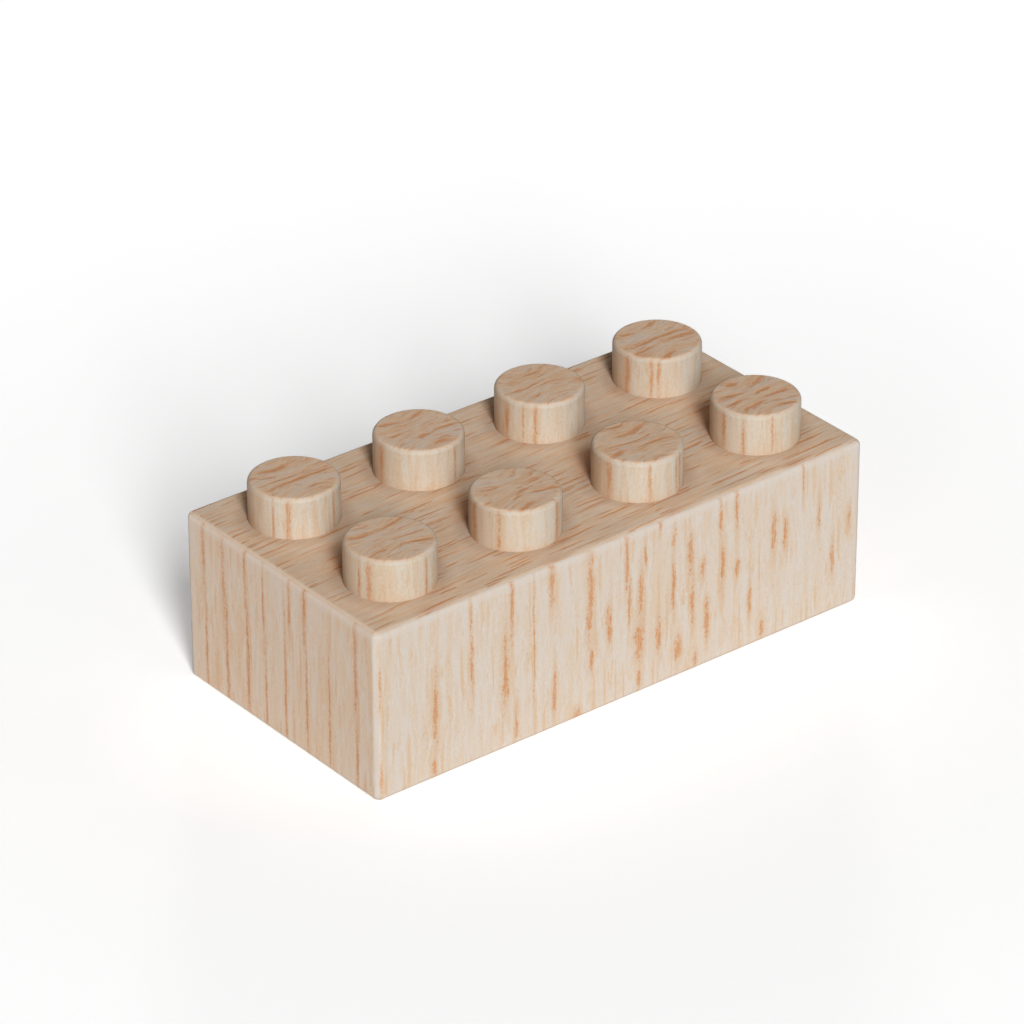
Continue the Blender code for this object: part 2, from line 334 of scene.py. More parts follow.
# Dark strokes on the studs' tops, in millimetres: place along the brick and across it from the stud's
# middle, half length, thickness
STUD_TOP_STROKES = {
    "a1": ((-4.8, 4.4, 3.4, 1.1), (4.2, 4.9, 4.0, 0.9), (4.0, -4.2, 4.0, 1.2), (-5.0, -3.2, 2.4, 0.8)),
    "a2": (
        (0.8, -1.3, 2.0, 0.8),
        (5.6, 0.6, 2.8, 0.8),
        (-1.8, -3.1, 1.8, 0.8),
        (4.6, -3.8, 3.6, 1.0),
        (-2.6, -6.8, 3.0, 1.3),
        (-4.4, 3.4, 2.4, 0.9),
    ),
    "a3": (
        (-7.0, -1.8, 3.0, 1.5),
        (3.2, -2.1, 5.8, 0.9),
        (-1.6, 0.7, 6.6, 0.6),
        (2.2, 4.0, 4.4, 1.2),
        (0.5, 7.4, 3.4, 1.1),
    ),
    "a4": (
        (-3.6, -3.4, 3.8, 1.5),
        (4.4, -1.8, 4.4, 1.2),
        (-6.0, 0.0, 3.4, 0.8),
        (2.4, 0.8, 3.0, 0.8),
        (-4.8, 3.0, 2.8, 1.3),
        (4.2, 4.4, 2.6, 1.1),
        (-1.0, 6.6, 1.2, 2.0),
        (3.0, -6.8, 2.4, 1.0),
    ),
    "b1": ((0.0, -1.0, 9.2, 1.0), (-1.0, 4.9, 4.6, 1.4), (-1.5, 0.8, 6.5, 0.5), (2.0, -5.2, 2.6, 0.8)),
    "b2": (
        (-4.9, 0.7, 2.2, 0.8),
        (0.0, -2.4, 2.4, 1.1),
        (5.2, -2.2, 2.8, 1.0),
        (-3.2, 5.4, 2.8, 1.1),
        (3.8, 5.5, 2.6, 1.0),
        (0.6, -6.7, 2.8, 1.6),
    ),
    "b3": ((-4.0, 0.4, 4.2, 0.7), (2.6, -0.8, 3.2, 0.7), (-3.6, -3.6, 1.8, 0.8), (1.6, 4.4, 2.6, 1.1)),
    "b4": (
        (0.0, 0.3, 9.2, 0.9),
        (-5.6, -2.3, 3.6, 1.0),
        (4.8, -2.0, 4.6, 1.4),
        (-3.6, 5.4, 2.0, 1.3),
        (2.6, 6.0, 2.8, 1.0),
        (-3.2, -7.0, 2.6, 2.2),
    ),
}


def srgb(red, green, blue):
    """The linear colour of display values from 0 to 255."""
    shares = (value / 255 for value in (red, green, blue))
    linear = (((share + 0.055) / 1.055) ** 2.4 for share in shares)
    return (*linear, 1.0)


# Oak of the long walls, the short walls and the studs' sides: pale lines, ground, tan bands, soft dashes,
# and the streaks' edges and hearts. The walls' two oaks are one wood set apart by the light on their faces:
# the long walls' paler and greyer, the short walls' brighter and warmer, a painted light on the oak's own
# colour
LONG_WOOD = {
    "pale": srgb(216, 206, 196),
    "ground": srgb(216, 201, 185),
    "tan": srgb(216, 195, 172),
    "dash": srgb(214, 181, 144),
    "edge": srgb(208, 187, 168),
    "flame": srgb(205, 140, 85),
}
SHORT_WOOD = {
    "pale": srgb(235, 217, 201),
    "ground": srgb(235, 211, 187),
    "tan": srgb(234, 202, 170),
    "dash": srgb(230, 187, 147),
    "edge": srgb(228, 195, 171),
    "flame": srgb(214, 145, 92),
}
STUD_WOOD = {
    "pale": srgb(209, 200, 186),
    "ground": srgb(210, 195, 176),
    "tan": srgb(207, 185, 158),
    "dash": srgb(204, 173, 141),
    "edge": srgb(202, 178, 158),
    "flame": srgb(198, 142, 98),
}

# Oak of the top board, of the studs' tops and of the sawn ends
TOP_LIGHT = srgb(235, 214, 192)
TOP_GROUND = srgb(237, 207, 178)
TOP_TAN = srgb(235, 198, 161)
TOP_PORE = srgb(222, 160, 111)
STUD_TOP_LIGHT = srgb(234, 210, 189)
STUD_TOP_GROUND = srgb(240, 208, 178)
STUD_TOP_TAN = srgb(237, 197, 160)
STUD_TOP_STREAK = srgb(229, 165, 118)
END_LIGHT = srgb(212, 187, 156)
END_DARK = srgb(192, 158, 122)
END_PORE = srgb(168, 120, 86)

# What a colour is multiplied by, each a painted light or shade: on the board's rounding towards a short wall,
# and on a short wall's rounding towards a long one, the tone of the wall that it turns to; on a stud's side
# out of the light and at its foot, painted shade; round a stud's foot and in its shadow on the board, painted
# shade and painted shadow; on the walls' arrises a faint painted light, and on the board's a painted shade
WHITE = (1.0, 1.0, 1.0, 1.0)
SHORT_TINT = (1.25, 1.12, 1.0, 1.0)
LONG_TINT = (0.83, 0.93, 1.04, 1.0)
FLANK_SHADE_TINT = (1.03, 0.84, 0.70, 1.0)
FOOT_SHADE_TINT = (0.77, 0.74, 0.73, 1.0)
SHADOW_TINT = (0.83, 0.66, 0.57, 1.0)
ARRIS_TINT = (1.01, 1.0, 0.99, 1.0)
BOARD_ARRIS_SHADE_TINT = (0.90, 0.94, 0.96, 1.0)


class Shader:
    """The node tree of a material or world, built by calls that each return an output socket."""

    def __init__(self, owner):
        owner.use_nodes = True
        self.owner = owner
        self.tree = owner.node_tree
        self.tree.nodes.clear()

    def node(self, kind, **settings):
        """A new node with its settings."""
        made = self.tree.nodes.new(kind)
        for key, value in settings.items():
            setattr(made, key, value)
        return made

    def feed(self, socket, value):
        """Give a socket its value, or a link where the value is another node's output."""
        if isinstance(value, bpy.types.NodeSocket):
            self.tree.links.new(value, socket)
        else:
            socket.default_value = value

    def fed(self, kind, values, **settings):
        """A new node whose first sockets take the values in their order."""
        made = self.node(kind, **settings)
        for socket, value in zip(made.inputs, values):
            self.feed(socket, value)
        return made

    def math(self, operation, *values):
        """The result of one operation on numbers."""
        return self.fed("ShaderNodeMath", values, operation=operation).outputs[0]

    def vector(self, operation, *values, output="Vector"):
        """The result of one operation on vectors."""
        return self.fed("ShaderNodeVectorMath", values, operation=operation).outputs[output]

    def place(self):
        """The point on the surface, in millimetres in the row's frame."""
        where = self.node("ShaderNodeTexCoord").outputs["Object"]
        return self.vector("MULTIPLY", where, (MILLIMETRES,) * 3)

    def split(self, value):
        """The x, y and z parts of a vector."""
        made = self.fed("ShaderNodeSeparateXYZ", (value,))
        return made.outputs[0], made.outputs[1], made.outputs[2]

    def join(self, x, y, z):
        """The vector of three parts."""
        return self.fed("ShaderNodeCombineXYZ", (x, y, z)).outputs[0]

    def turned(self, value, degrees):
        """The vector, turned about the z axis."""
        made = self.node("ShaderNodeVectorRotate", rotation_type="Z_AXIS")
        self.feed(made.inputs["Vector"], value)
        made.inputs["Angle"].default_value = math.radians(degrees)
        return made.outputs[0]

    def noise(self, where, layer, seed=0.0):
        """Soft noise about 0.5, whose lumps measure about the layer's sizes."""
        number = seed + layer.seed
        scaled = self.vector("MULTIPLY", where, tuple(1 / size for size in layer.sizes))
        shifted = self.vector("ADD", scaled, (number, number * 1.7 + 3.0, number * 0.6 - 5.0))
        made = self.node("ShaderNodeTexNoise")
        self.feed(made.inputs["Vector"], shifted)
        made.inputs["Scale"].default_value = 1.0
        made.inputs["Detail"].default_value = layer.detail
        made.inputs["Roughness"].default_value = layer.roughness
        return made.outputs[0]

    def cells(self, where, sizes, seed):
        """Points, one to a cell of about sizes: the way from the nearest one and its random colour."""
        scaled = self.vector("MULTIPLY", where, tuple(1 / size for size in sizes))
        shifted = self.vector("ADD", scaled, (seed, seed * 1.3 + 7.0, seed * 0.4 - 2.0))
        made = self.node("ShaderNodeTexVoronoi")
        self.feed(made.inputs["Vector"], shifted)
        made.inputs["Scale"].default_value = 1.0
        nearest = self.vector("SUBTRACT", shifted, made.outputs["Position"])
        return nearest, made.outputs["Color"]

    def step(self, value, low, high, start=0.0, end=1.0):
        """A smooth step from start to end as value goes from low to high."""
        numbers = (value, low, high, start, end)
        return self.fed("ShaderNodeMapRange", numbers, interpolation_type="SMOOTHSTEP").outputs[0]

    def mix(self, share, first, second, blend_type="MIX"):
        """Two colours mixed: the node's sockets 6 and 7 hold them, and its output 2 gives the result."""
        made = self.node("ShaderNodeMix", data_type="RGBA", blend_type=blend_type)
        self.feed(made.inputs[0], share)
        self.feed(made.inputs[6], first)
        self.feed(made.inputs[7], second)
        return made.outputs[2]

    def between(self, share, first, second):
        """Two numbers mixed, in the node's sockets 2 and 3."""
        made = self.node("ShaderNodeMix", data_type="FLOAT")
        self.feed(made.inputs[0], share)
        self.feed(made.inputs[2], first)
        self.feed(made.inputs[3], second)
        return made.outputs[0]

    def scaled(self, colour, factor):
        """The colour made lighter or darker by a factor."""
        made = self.node("ShaderNodeVectorMath", operation="SCALE")
        self.feed(made.inputs[0], colour)
        self.feed(made.inputs["Scale"], factor)
        return made.outputs[0]

    def toned(self, colour, share, tint):
        """The colour, multiplied by the tint as far as share says."""
        return self.mix(1.0, colour, self.mix(share, WHITE, tint), blend_type="MULTIPLY")

    def centred(self, value, size):
        """Noise moved to swing about nought, size to either side."""
        return self.math("MULTIPLY_ADD", value, 2 * size, -size)

    def normal_parts(self):
        """How far the surface faces along each axis, from 0 to 1."""
        made = self.node("ShaderNodeNewGeometry")
        return self.split(self.vector("ABSOLUTE", made.outputs["Normal"]))

    def seen_by(self, *rays):
        """1 for the light paths of the named kinds, 0 for the others."""
        path = self.node("ShaderNodeLightPath")
        share = 0.0
        for ray in rays:
            share = self.math("MAXIMUM", path.outputs[ray], share)
        return share

    def wood(self, colour, height, fibres, surface):
        """The finished wood, from its colour, its relief and its fibres, with the named surface."""
        facts = SURFACES[surface]
        bump = self.node("ShaderNodeBump")
        bump.inputs["Strength"].default_value = 1.0
        bump.inputs["Distance"].default_value = facts["relief"] / MILLIMETRES
        self.feed(bump.inputs["Height"], height)
        made = self.node("ShaderNodeBsdfPrincipled")
        self.feed(made.inputs["Base Color"], colour)
        self.feed(made.inputs["Roughness"], self.step(fibres, 0.2, 0.8, *facts["roughness"]))
        self.feed(made.inputs["Normal"], bump.outputs[0])
        made.inputs["Specular IOR Level"].default_value = WOOD_GLOSS
        return self.finish(made, "ShaderNodeOutputMaterial")

    def finish(self, surface, output):
        """The material or world, once its surface is linked to an output node."""
        last = self.node(output)
        self.tree.links.new(surface.outputs[0], last.inputs["Surface"])
        return self.owner


def new_shader(name):
    """The shader of a new material."""
    return Shader(bpy.data.materials.new(name))


def wavy(shader, place, sway, ripple, seed):
    """The place, moved sideways by a slow sway and a quick ripple along the upright grain."""
    slow = shader.centred(shader.noise(place, SLOW_SWAY, seed), sway)
    quick = shader.centred(shader.noise(place, QUICK_SWAY, seed), ripple)
    shift = shader.math("ADD", slow, quick)
    return shader.vector("ADD", place, shader.join(shift, shift, 0.0))


def nearest_streak(shader, streaks):
    """How near the closest streak is: 0 on its middle line, 1 at its edge, more outside it.

    A streak is one (coordinate, middle, half size) for each direction that it is limited in.
    """
    closest = None
    for limits in streaks:
        total = 0.0
        for coordinate, middle, half in limits:
            offset = shader.math("MULTIPLY_ADD", coordinate, 1 / half, -middle / half)
            total = shader.math("MULTIPLY_ADD", offset, offset, total)
        closest = total if closest is None else shader.math("MINIMUM", closest, total)
    return shader.math("SQRT", closest)


def streaked(shader, place, closest, ground, wood, seed):
    """The ground with its streaks, and how strong the streak is at each point.

    A streak has a soft halo, a ragged edge and a dark heart that is broken up into threads.
    """
    grain = shader.noise(place, STREAK_GRAIN["grain"], seed)
    breaks = shader.noise(place, STREAK_GRAIN["breaks"], seed)
    threads = shader.noise(place, STREAK_GRAIN["threads"], seed)
    rough = shader.math("ADD", shader.centred(grain, 1.5), shader.centred(breaks, 0.9))
    ragged = shader.math("ADD", closest, rough)
    heart = shader.step(ragged, 1.25, 0.45)
    heart = shader.math("MULTIPLY", heart, shader.step(threads, 0.36, 0.54, 0.4, 0.95))
    heart = shader.math("MULTIPLY", heart, shader.step(grain, 0.36, 0.54, 1.0, 0.82))
    halo = shader.math("MULTIPLY", shader.step(ragged, 2.7, 0.9), 0.6)
    colour = shader.mix(halo, ground, wood["dash"])
    colour = shader.mix(shader.step(ragged, 2.2, 1.2, 0.0, 0.3), colour, wood["edge"])
    return shader.mix(heart, colour, wood["flame"]), heart


def dashes(shader, along, across, spacing, slimness, crowding, seed):
    """Short dashes scattered one to a cell: how far the point is from its dash, and if the cell has one.

    Spacing is the cell's length along the grain and its width across it. The reach is nought in the
    dash's middle and 1 at its edge.
    """
    offset, chance = shader.cells(shader.join(along, across, 0.0), (*spacing, 1.0), seed)
    run, aside, _ = shader.split(offset)
    pick, length_pick, width_pick = shader.split(chance)
    half_length = shader.step(length_pick, 0.0, 1.0, 0.20, 0.52)
    half_width = shader.step(width_pick, 0.0, 1.0, slimness, 2.4 * slimness)
    slim = shader.math("DIVIDE", shader.math("ABSOLUTE", aside), half_width)
    reach = shader.math("DIVIDE", run, half_length)
    reach = shader.math("MULTIPLY_ADD", reach, reach, slim)
    present = shader.step(pick, crowding + 0.06, crowding - 0.06)
    return reach, present


def side_wood(shader, place, wood, seed):
    """Upright grain: soft bands, tan streaks, pale patches and wandering lines, and fine fibres."""
    grit = shader.noise(place, SIDE_GRAIN["grit"], seed)
    rub = shader.centred(grit, 0.26)
    bands = shader.math("ADD", shader.noise(place, SIDE_GRAIN["bands"], seed), rub)
    colour = shader.mix(shader.step(bands, 0.38, 0.68), wood["ground"], wood["tan"])
    streaks = shader.math("ADD", shader.noise(place, SIDE_GRAIN["streaks"], seed), rub)
    colour = shader.mix(shader.step(streaks, 0.54, 0.74, 0.0, 0.75), colour, wood["dash"])
    lights = shader.noise(place, SIDE_GRAIN["lights"], seed)
    lights = shader.math("ADD", lights, shader.centred(grit, 0.14))
    light = shader.step(lights, 0.54, 0.66, 0.0, 0.75)
    veins = shader.noise(place, SIDE_GRAIN["veins"], seed)
    from_vein = shader.math("ABSOLUTE", shader.math("SUBTRACT", veins, 0.5))
    vein = shader.math("MULTIPLY", shader.step(from_vein, 0.04, 0.0), 0.8)
    colour = shader.mix(shader.math("MAXIMUM", light, vein), colour, wood["pale"])
    fibres = shader.noise(place, SIDE_GRAIN["fibres"], seed)
    return shader.scaled(colour, shader.step(fibres, 0.3, 0.7, 0.96, 1.035)), fibres


def arris_share(shader):
    """0 on the flat faces, 1 on the middle of a rounded arris."""
    x, y, z = shader.normal_parts()
    largest = shader.math("MAXIMUM", shader.math("MAXIMUM", x, y), z)
    return shader.step(largest, 0.995, 0.86)


def end_grain(shader, place, seed):
    """Sawn-across wood: curved rings and small dark pores."""
    x, y, _ = shader.split(place)
    away_x, away_y = RING_MIDDLE
    from_middle = shader.join(shader.math("ADD", x, away_x), shader.math("ADD", y, away_y + seed), 0.0)
    radius = shader.vector("LENGTH", from_middle, output="Value")
    rings = shader.math("DIVIDE", radius, RING_SPACING)
    ring = shader.math("FRACT", shader.math("ADD", rings, shader.noise(place, CUT_GRAIN["sway"], seed)))
    pores = shader.noise(place, CUT_GRAIN["pores"], seed)
    dark = shader.math("MULTIPLY", shader.step(pores, 0.52, 0.66), shader.step(ring, 0.55, 0.95, 0.25, 1.0))
    colour = shader.mix(shader.step(ring, 0.2, 1.0), END_LIGHT, END_DARK)
    return shader.mix(dark, colour, END_PORE)


def paler_edges(shader, place, across, z, arris, half, seed):
    """How pale a wall turns: along its top, and less along its ends and on the arris."""
    uneven = shader.noise(place, WALL_GRAIN["pale_strip_edges"], seed)
    below_top = shader.math("SUBTRACT", BODY_HEIGHT, shader.math("ADD", z, shader.centred(uneven, 0.9)))
    top = shader.step(below_top, *PALE_TOP_STRIP)
    inside_end = shader.math("SUBTRACT", half, shader.math("ABSOLUTE", across))
    end = shader.step(inside_end, *PALE_END_STRIP, 0.0, 0.8)
    upper = shader.step(shader.math("SUBTRACT", BODY_HEIGHT, z), *PALE_UPPER_PART, 0.0, 0.2)
    share = shader.math("MAXIMUM", shader.math("MAXIMUM", top, end), upper)
    return shader.math("MAXIMUM", share, shader.math("MULTIPLY", arris, 0.5))


def wall_streaks(listed, across, up):
    """The limits of a wall's streaks, which pass right through the wall."""
    made = []
    for middle, low, high, width in listed:
        made.append(((across, middle, width / 2), (up, (low + high) / 2, (high - low) / 2)))
    return made


def wall_material(name, listed, wood, along_x, sway, seed):
    """Upright-grained oak with the streaks of its list, paler along its top and ends.

    The rim below shows end grain, and on the short walls the rounding takes the long wall's tone.
    """
    shader = new_shader(name)
    place = shader.place()
    swayed = wavy(shader, place, sway, WALL_RIPPLE, seed)
    ground, fibres = side_wood(shader, swayed, wood, seed)
    x, y, z = shader.split(swayed)
    across, half = (x, HALF_LENGTH) if along_x else (y, HALF_WIDTH)
    reach, present = dashes(shader, z, across, seed=seed, **WALL_DASHES)
    uneven = shader.centred(shader.noise(place, WALL_GRAIN["dash_edges"], seed), 2.2)
    dash = shader.math("MULTIPLY", shader.step(shader.math("ADD", reach, uneven), 1.9, 0.2), present)
    ground = shader.mix(shader.math("MULTIPLY", dash, 0.8), ground, wood["dash"])
    arris = arris_share(shader)
    paleness = paler_edges(shader, place, across, z, arris, half, seed)
    ground = shader.mix(shader.math("MULTIPLY", paleness, 0.6), ground, wood["pale"])
    closest = nearest_streak(shader, wall_streaks(listed, across, z))
    colour, heart = streaked(shader, place, closest, ground, wood, seed)
    colour = shader.mix(shader.math("MULTIPLY", paleness, 0.2), colour, wood["pale"])
    # Faint painted light on the arrises
    colour = shader.toned(colour, arris, ARRIS_TINT)
    _, facing_long, facing_down = shader.normal_parts()
    # Painted light: a short wall's rounding takes the long wall's paler, greyer tone where it turns along y
    if not along_x:
        colour = shader.toned(colour, shader.step(facing_long, 0.05, 0.60), LONG_TINT)
    low = shader.step(shader.split(place)[2], *RIM_HEIGHT)
    rim = shader.math("MULTIPLY", shader.step(facing_down, 0.75, 0.97), low)
    colour = shader.mix(rim, colour, end_grain(shader, place, seed))
    height = shader.math("MULTIPLY_ADD", heart, -0.4, fibres)
    return shader.wood(colour, height, fibres, "wall")


def top_wood(shader, place):
    """Grain along the brick, with hairlines and short dark pores."""
    turned = shader.turned(place, -TOP_TURN)
    sway = shader.centred(shader.noise(turned, TOP_GRAIN["sway"]), TOP_SWAY)
    bent = shader.vector("ADD", turned, shader.join(0.0, sway, 0.0))
    rub = shader.centred(shader.noise(turned, TOP_GRAIN["grit"]), 0.16)
    bands = shader.math("ADD", shader.noise(bent, TOP_GRAIN["bands"]), rub)
    colour = shader.mix(shader.step(bands, 0.36, 0.62), TOP_LIGHT, TOP_GROUND)
    tans = shader.math("ADD", shader.noise(bent, TOP_GRAIN["tans"]), rub)
    colour = shader.mix(shader.step(tans, 0.46, 0.62), colour, TOP_TAN)
    shades = shader.noise(bent, TOP_GRAIN["shades"])
    colour = shader.scaled(colour, shader.step(shades, 0.35, 0.65, 0.975, 1.025))
    hairs = shader.noise(bent, TOP_GRAIN["hairs"])
    colour = shader.scaled(colour, shader.step(hairs, 0.3, 0.7, 0.945, 1.045))
    rough = shader.centred(shader.noise(turned, TOP_GRAIN["pore_edges"]), 0.9)
    x, y, _ = shader.split(bent)
    pore = 0.0
    for facts in TOP_PORES:
        reach, present = dashes(shader, x, y, **facts)
        mark = shader.step(shader.math("ADD", reach, rough), 1.7, 0.3)
        pore = shader.math("MAXIMUM", shader.math("MULTIPLY", mark, present), pore)
    return shader.mix(pore, colour, TOP_PORE), hairs, pore


def past_middle(shader, value, period):
    """How far the value lies past the middle of its period."""
    return shader.math("SUBTRACT", shader.math("FLOORED_MODULO", value, period), period / 2)


def stud_surround(shader, place):
    """How near the point is to a stud's foot, which bears painted shade, and how far it lies in the stud's
    painted shadow.

    The painted shadow is a strip behind the stud. Behind the back row the light comes back in, so there it is
    weaker.
    """
    x, y, _ = shader.split(place)
    near_x = past_middle(shader, x, STUD_PITCH)
    near_y = past_middle(shader, y, STUD_PITCH)
    away = shader.vector("LENGTH", shader.join(near_x, near_y, 0.0), output="Value")
    foot = shader.step(away, STUD_RADIUS + FOOT_RING, STUD_RADIUS)
    late_y = past_middle(shader, shader.math("SUBTRACT", y, SHADOW_LAG), STUD_PITCH)
    late_y = shader.math("ADD", late_y, SHADOW_LAG)
    along_x, along_y = SHADOW_DIRECTION
    run = shader.math("MULTIPLY_ADD", near_x, along_x, shader.math("MULTIPLY", late_y, along_y))
    aside = shader.math("MULTIPLY_ADD", near_x, along_y, shader.math("MULTIPLY", late_y, -along_x))
    past_stud = shader.math("SUBTRACT", run, STUD_RADIUS)
    past_side = shader.math("SUBTRACT", shader.math("ABSOLUTE", aside), STUD_RADIUS)
    shadow = shader.step(run, 0.0, SHADOW_FULL * STUD_RADIUS)
    shadow = shader.math("MULTIPLY", shadow, shader.step(past_stud, *SHADOW_END))
    shadow = shader.math("MULTIPLY", shadow, shader.step(y, *BACK_LIGHT["places"], 1.0, BACK_LIGHT["share"]))
    return foot, shader.math("MULTIPLY", shadow, shader.step(past_side, *SHADOW_SIDE))


def top_material():
    """The top board: lengthwise grain above, the walls' upright look on its rounding."""
    shader = new_shader("top_board_oak")
    place = shader.place()
    colour, hairs, pore = top_wood(shader, place)
    foot, shadow = stud_surround(shader, place)
    arris = arris_share(shader)
    # Painted shade round each stud's foot, and painted shadow behind each stud
    colour = shader.toned(colour, foot, FOOT_SHADE_TINT)
    colour = shader.toned(colour, shadow, SHADOW_TINT)
    # Painted shade on the board's rounding
    colour = shader.toned(colour, arris, BOARD_ARRIS_SHADE_TINT)
    swayed = wavy(shader, place, EDGE_SWAY, WALL_RIPPLE, TOP_EDGE_SEED)
    side, _ = side_wood(shader, swayed, LONG_WOOD, TOP_EDGE_SEED)
    side = shader.mix(BOARD_EDGE_PALE, side, LONG_WOOD["pale"])
    facing_end, facing_long, up = shader.normal_parts()
    short = shader.step(shader.math("SUBTRACT", facing_end, facing_long), -0.2, 0.4)
    # Painted light: the rounding over a short wall takes that wall's brighter, warmer tone
    side = shader.toned(side, short, SHORT_TINT)
    # Faint painted light on the rounding's arris
    side = shader.toned(side, arris, ARRIS_TINT)
    border = shader.centred(shader.noise(place, TOP_GRAIN["border"]), 0.04)
    border = shader.math("MULTIPLY_ADD", short, -0.15, shader.math("ADD", up, border))
    colour = shader.mix(shader.step(border, *BOARD_BORDER), colour, side)
    height = shader.math("MULTIPLY_ADD", pore, -1.0, hairs)
    return shader.wood(colour, height, hairs, "top")


def fan_lines(shader, place, centre, seed):
    """Coordinates for a stud's top: along the brick, and across lines that fan out from the middle."""
    warp_along = shader.centred(shader.noise(place, STUD_GRAIN["warp_along"], seed), 1.0)
    warp_across = shader.centred(shader.noise(place, STUD_GRAIN["warp_across"], seed), 0.9)
    moved = shader.vector("ADD", place, shader.join(warp_along, warp_across, 0.0))
    x, y, _ = shader.split(shader.vector("SUBTRACT", moved, (centre.x, centre.y, 0.0)))
    reach = shader.math("SQRT", shader.math("MULTIPLY_ADD", x, x, FAN_WAIST))
    fan = shader.math("MULTIPLY", shader.math("DIVIDE", y, reach), FAN_SPREAD)
    return shader.join(x, fan, y)


def top_strokes(name, along, fan):
    """The limits of the listed strokes on a stud's top, in the fanned coordinates."""
    made = []
    for x_middle, y_middle, half_length, thickness in STUD_TOP_STROKES[name]:
        scale = FAN_SPREAD / math.sqrt(x_middle ** 2 + FAN_WAIST)
        across = (fan, y_middle * scale, thickness / 2 * scale)
        made.append(((along, x_middle, half_length), across))
    return made


def stud_top(shader, place, name, centre, seed):
    """The figure of a stud's top: wavy lines, its listed strokes and smaller ones. Also gives its relief."""
    flow = fan_lines(shader, place, centre, seed)
    grit = shader.noise(place, STUD_GRAIN["grit"], seed)
    rub = shader.centred(grit, 0.12)
    lines = shader.math("ADD", shader.noise(flow, STUD_GRAIN["lines"], seed), rub)
    colour = shader.mix(shader.step(lines, 0.36, 0.50), STUD_TOP_LIGHT, STUD_TOP_GROUND)
    colour = shader.mix(shader.step(lines, 0.50, 0.62), colour, STUD_TOP_TAN)
    along, fan, _ = shader.split(flow)
    breaks = shader.centred(shader.noise(flow, STUD_GRAIN["breaks"], seed), 1.2)
    close = shader.math("ADD", nearest_streak(shader, top_strokes(name, along, fan)), breaks)
    colour = shader.mix(shader.step(close, 2.6, 0.9, 0.0, 0.6), colour, STUD_TOP_TAN)
    strokes = shader.math("ADD", shader.noise(flow, STUD_GRAIN["strokes"], seed), rub)
    minor = shader.step(strokes, 0.56, 0.69, 0.0, 0.75)
    major = shader.step(shader.math("ADD", close, shader.centred(grit, 0.6)), 1.25, 0.35)
    dark = shader.math("MAXIMUM", minor, major)
    colour = shader.mix(dark, colour, STUD_TOP_STREAK)
    fine = shader.noise(flow, STUD_GRAIN["fine"], seed)
    colour = shader.scaled(colour, shader.step(fine, 0.3, 0.7, 0.92, 1.06))
    return colour, shader.math("SUBTRACT", lines, dark)


def stud_side_streaks(name, centre, x, y, z):
    """The limits of the streaks up a stud's side: the listed ones, and some on the side out of view."""
    draw = random.Random(name)
    streaks = list(STUD_STREAKS[name])
    for _ in range(HIDDEN_STREAKS["count"]):
        streaks.append((draw.uniform(*HIDDEN_STREAKS["angles"]), draw.uniform(*HIDDEN_STREAKS["widths"])))
    made = []
    for angle, width in streaks:
        spot = math.radians(angle)
        middle = BODY_HEIGHT + STUD_HEIGHT * draw.uniform(*STUD_STREAK_MIDDLE)
        half = STUD_HEIGHT * draw.uniform(*STUD_STREAK_HALF)
        reach = width * STUD_STREAK_REACH
        along_x = (x, centre.x + STUD_RADIUS * math.cos(spot), reach)
        along_y = (y, centre.y + STUD_RADIUS * math.sin(spot), reach)
        made.append((along_x, along_y, (z, middle, half)))
    return made


def stud_side(shader, place, name, centre, seed):
    """Upright grain round a stud, ruddier in painted shade on its side out of the light and at its foot.

    Also gives its relief and fibres.
    """
    swayed = wavy(shader, place, TURNED_SWAY, STUD_RIPPLE, seed)
    colour, fibres = side_wood(shader, swayed, STUD_WOOD, seed + 2.0)
    x, y, z = shader.split(swayed)
    closest = nearest_streak(shader, stud_side_streaks(name, centre, x, y, z))
    colour, heart = streaked(shader, place, closest, colour, STUD_WOOD, seed)
    flank_x, flank_y = FLANK_DIRECTION
    flank = shader.math("MULTIPLY", shader.math("SUBTRACT", x, centre.x), flank_x)
    flank = shader.math("MULTIPLY_ADD", shader.math("SUBTRACT", y, centre.y), flank_y, flank)
    shaded = shader.step(shader.math("DIVIDE", flank, STUD_RADIUS), *FLANK_REACH)
    foot = shader.step(z, BODY_HEIGHT + STUD_FOOT["height"], BODY_HEIGHT, 0.0, STUD_FOOT["share"])
    # Painted shade: the flank out of the light and the stud's foot turn ruddier and darker
    colour = shader.toned(colour, shader.math("MAXIMUM", shaded, foot), FLANK_SHADE_TINT)
    relief = shader.math("MULTIPLY_ADD", heart, -0.4, shader.math("MULTIPLY", fibres, 0.5))
    return colour, relief, fibres


def stud_material(name, centre, seed):
    """A stud: wavy figure on its top, upright grain round its side, and between them a paler edge, painted
    highlight.
    """
    shader = new_shader(f"stud_oak_{name}")
    place = shader.place()
    top, top_relief = stud_top(shader, place, name, centre, seed)
    side, side_relief, fibres = stud_side(shader, place, name, centre, seed)
    up = shader.normal_parts()[2]
    turned_over = shader.step(up, *STUD_BORDER)
    colour = shader.mix(turned_over, top, side)
    # Painted highlight: a paler ring on the stud's rounded rim
    edge = shader.math("MULTIPLY", shader.step(up, 0.99, 0.85), shader.step(up, 0.05, 0.4))
    colour = shader.mix(shader.math("MULTIPLY", edge, 0.3), colour, STUD_WOOD["pale"])
    height = shader.between(turned_over, top_relief, side_relief)
    return shader.wood(colour, height, fibres, "stud")


